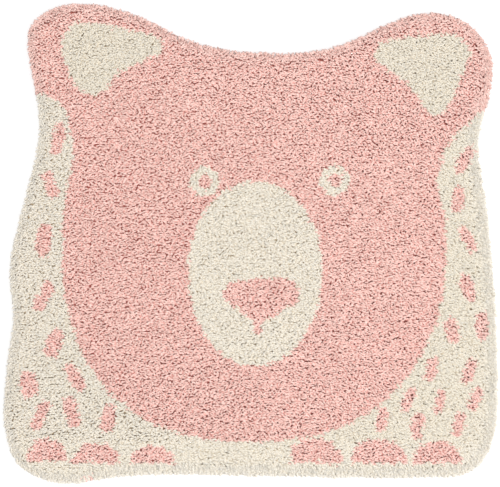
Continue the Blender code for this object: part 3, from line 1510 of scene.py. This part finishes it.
@dataclass
class Pile:
    """The whole pile, as one piece of tufts for each zone.

    Attributes:
        shape: How a tuft stands.
        head: The bear's head, which says which yarn goes where.
        seed: The seed of the random values.
    """

    shape: PileShape
    head: BearHead
    seed: int = 7

    def build(self) -> list[bpy.types.Object]:
        """Grow the tufts, sort them by zone and make the pieces.

        Returns:
            The pieces, in the order of Zone.
        """
        rng = np.random.default_rng(self.seed)
        roots = self.shape.bed.roots(rng)
        zones = self.head.zones(roots + rng.normal(0.0, self.head.stray, roots.shape))
        tufts = Growth(self.shape, roots, rng).tufts(zones)
        mesher = YarnMesher(self.shape.stations)
        yarns = {Yarn.PINK: PINK_YARN.material(), Yarn.CREAM: CREAM_YARN.material()}
        pieces = []
        for index, zone in enumerate(Zone):
            patch = zone.value
            mesh = mesher.mesh(patch.piece, tufts.pick(zones == index))
            mesh.materials.append(yarns[patch.yarn])
            pieces.append(show(mesh))
        return pieces


# ---- Ground cloth ----------------------------------------------------------------------------


@dataclass
class GroundCloth:
    """The woven cloth that the yarn is tufted into.

    Attributes:
        bed: The tufts' bed, which says how far the cloth reaches.
        head: The bear's head, which says where the yarn is pink.
        thickness: The cloth's thickness, with the feet of the tufts on it.
        turn: The radius of its edge.
        under_rings: How many rings of faces lie between middle and edge on its underside.
        top_rings: How many on its top, where they carry the colours of the yarn's feet, darkened
            with painted shade.
        pitch: The length of a face along the edge.
    """

    bed: TuftBed
    head: BearHead
    thickness: float = 2.5 * MM
    turn: float = 1.0 * MM
    under_rings: int = 4
    top_rings: int = 50
    pitch: float = 8.0 * MM

    def build(self) -> bpy.types.Object:
        """Make the cloth.

        It is a closed surface of two parameters: from the middle of the underside out to the
        edge, over it and back to the middle of the top, and round the plan. Each ring is the edge
        loop shrunk about the middle of the rug.

        Returns:
            The piece.
        """
        loop = self.bed.plan.loop(self.bed.cloth_margin, self.pitch)
        inner = 1.0 - self.turn / np.linalg.norm(loop, axis=1).mean()
        under = np.linspace(0.0, inner, self.under_rings + 1)[1:]
        top = np.linspace(inner, 0.0, self.top_rings + 1)[:-1]
        out = np.concatenate([under, [1.0, 1.0], top])
        edge = [self.turn, self.thickness - self.turn]
        z = np.concatenate([np.zeros(len(under)), edge, np.full(len(top), self.thickness)])
        ring_points = loop[None] * out[:, None, None]
        level = np.broadcast_to(z[:, None, None], ring_points.shape[:2] + (1,))
        points = np.concatenate([ring_points, level], axis=2).reshape(-1, 3)
        points = np.vstack([points, (0.0, 0.0, 0.0), (0.0, 0.0, self.thickness)])
        mesh = bpy.data.meshes.new("ground_cloth")
        mesh.from_pydata(points, [], self._faces(len(out), len(loop)))
        pink = np.array([zone.value.yarn is Yarn.PINK for zone in Zone])
        store(mesh, "tufted", points[:, 2] > self.turn)
        store(mesh, "pink", pink[self.head.zones(points[:, :2])])
        mesh.update(calc_edges=True)
        mesh.shade_smooth()
        mesh.materials.append(GROUND_FINISH.material())
        return show(mesh)

    @staticmethod
    def _faces(rings: int, columns: int) -> list[tuple[int, ...]]:
        """Work out the faces between neighbouring rings, and the fans round the two poles.

        Args:
            rings: How many rings there are.
            columns: How many points a ring has.

        Returns:
            The points of each face.
        """
        column = np.arange(columns)
        following = (column + 1) % columns
        low = (np.arange(rings - 1) * columns)[:, None]
        quads = np.stack(
            [low + column, low + following, low + columns + following, low + columns + column],
            axis=2,
        ).reshape(-1, 4)
        under, over = rings * columns, rings * columns + 1
        last = (rings - 1) * columns
        under_fan = np.stack([np.full(columns, under), following, column], axis=1)
        over_fan = np.stack([last + column, last + following, np.full(columns, over)], axis=1)
        return [*map(tuple, quads), *map(tuple, under_fan), *map(tuple, over_fan)]

    def declare(self) -> None:
        low, high = CAD_BOUNDS
        spare = 2 * (self.bed.plan.overhang - self.bed.cloth_margin)
        flat = (high[0] - low[0] - spare, high[1] - low[1] - spare)
        area = self.bed.plan.area(self.bed.cloth_margin)


def show(mesh: bpy.types.Mesh) -> bpy.types.Object:
    """Put a mesh into the scene as an object of the same name at the origin.

    Args:
        mesh: The mesh.

    Returns:
        The object.
    """
    piece = bpy.data.objects.new(mesh.name, mesh)
    bpy.context.scene.collection.objects.link(piece)
    return piece


# ---- Studio ----------------------------------------------------------------------------------


@dataclass(frozen=True)
class SoftLight:
    """A square studio light that faces the rug.

    Attributes:
        name: Its name.
        place: Where its middle is.
        size: The length of a side.
        power: Its power in watts.
        colour: The colour of its light.
    """

    name: str
    place: tuple[float, float, float]
    size: float
    power: float
    colour: tuple[float, float, float] = (1.0, 1.0, 1.0)

    def build(self) -> None:
        """Make the light, turned to the middle of the rug."""
        lamp = bpy.data.lights.new(self.name, "AREA")
        lamp.shape = "SQUARE"
        lamp.size = self.size
        lamp.energy = self.power
        lamp.color = self.colour
        holder = bpy.data.objects.new(self.name, lamp)
        bpy.context.scene.collection.objects.link(holder)
        holder.location = self.place
        holder.rotation_euler = (-holder.location).to_track_quat("-Z", "Y").to_euler()


@dataclass
class Studio:
    """A plain pale floor, soft light and the camera straight above the rug.

    Attributes:
        photo_width: The photograph's width in pixels.
        rug_width: The rug's width in the photograph, in pixels.
        lens: The camera's lens in millimetres.
        sensor: The camera's sensor width in millimetres.
        pile_z: The height at which the photograph's scale is taken.
        floor_size: The length of the floor's sides.
        floor_z: The floor's height, just under the rug.
        sky: The strength of the even light all round.
        lights: The studio lights.
    """

    photo_width: float = 500.0
    rug_width: float = 495.0
    lens: float = 85.0
    sensor: float = 36.0
    pile_z: float = 10 * MM
    floor_size: float = 60.0
    floor_z: float = -0.2 * MM
    sky: float = 0.65
    lights: tuple[SoftLight, ...] = (
        SoftLight("key_light", (4.6, -1.9, 3.8), 1.6, 92.0, (0.99, 0.99, 1.0)),
        SoftLight("top_light", (0.5, -0.3, 6.8), 1.2, 240.0),
    )

    def build(self) -> None:
        """Set up the floor, the light and the camera."""
        self._floor()
        self._sky()
        for light in self.lights:
            light.build()
        self._camera()
        bpy.context.scene.view_settings.view_transform = "Standard"

    def _floor(self) -> None:
        """Make the floor, just under the rug."""
        half, z = self.floor_size / 2, self.floor_z
        corners = [(-half, -half, z), (half, -half, z), (half, half, z), (-half, half, z)]
        mesh = bpy.data.meshes.new("floor")
        mesh.from_pydata(corners, [], [(0, 1, 2, 3)])
        mesh.materials.append(FloorFinish().material())
        show(mesh)

    def _sky(self) -> None:
        """Fill the room with even white light."""
        world = bpy.data.worlds.new("studio")
        world.use_nodes = True
        backdrop = world.node_tree.nodes["Background"]
        backdrop.inputs["Color"].default_value = (1.0, 1.0, 1.0, 1.0)
        backdrop.inputs["Strength"].default_value = self.sky
        bpy.context.scene.world = world

    def _camera(self) -> None:
        """Hang the camera above the rug's middle, so that the rug has its size in the photo."""
        low, high = CAD_BOUNDS
        seen_width = (high[0] - low[0]) * self.photo_width / self.rug_width
        data = bpy.data.cameras.new("camera")
        data.lens = self.lens
        data.sensor_width = self.sensor
        data.sensor_fit = "HORIZONTAL"
        camera = bpy.data.objects.new("camera", data)
        bpy.context.scene.collection.objects.link(camera)
        height = self.pile_z + seen_width * self.lens / self.sensor
        camera.location = ((low[0] + high[0]) / 2, (low[1] + high[1]) / 2, height)
        bpy.context.scene.camera = camera


# ---- The whole rug ---------------------------------------------------------------------------


def attach(piece: bpy.types.Object) -> None:
    """Make a piece ride on the rug's body and stand for the slab, which is hidden.

    Args:
        piece: The piece.
    """
    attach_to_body(piece, BODY)
    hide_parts(SLAB)


def main() -> None:
    """Build the pile, the ground cloth and the studio, and attach and report each piece."""
    logging.basicConfig(level=logging.INFO, format="%(name)s: %(message)s")
    plan = RugPlan.from_slab(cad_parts[SLAB])
    bed = TuftBed(plan)
    head = BearHead(plan)
    pile = Pile(PileShape(bed), head).build()
    ground = GroundCloth(bed, head)
    cloth = ground.build()
    slots = [zone.value.yarn.value for zone in Zone] + ["ground_cloth"]
    for piece, slot in zip([*pile, cloth], slots):
        attach(piece)
        LOG.info("%s: %d faces of %s", piece.name, len(piece.data.polygons), slot)
    ground.declare()
    studio = Studio()
    studio.build()
    LOG.info("studio: %d lights", len(studio.lights))


if __name__ == "__main__":
    main()
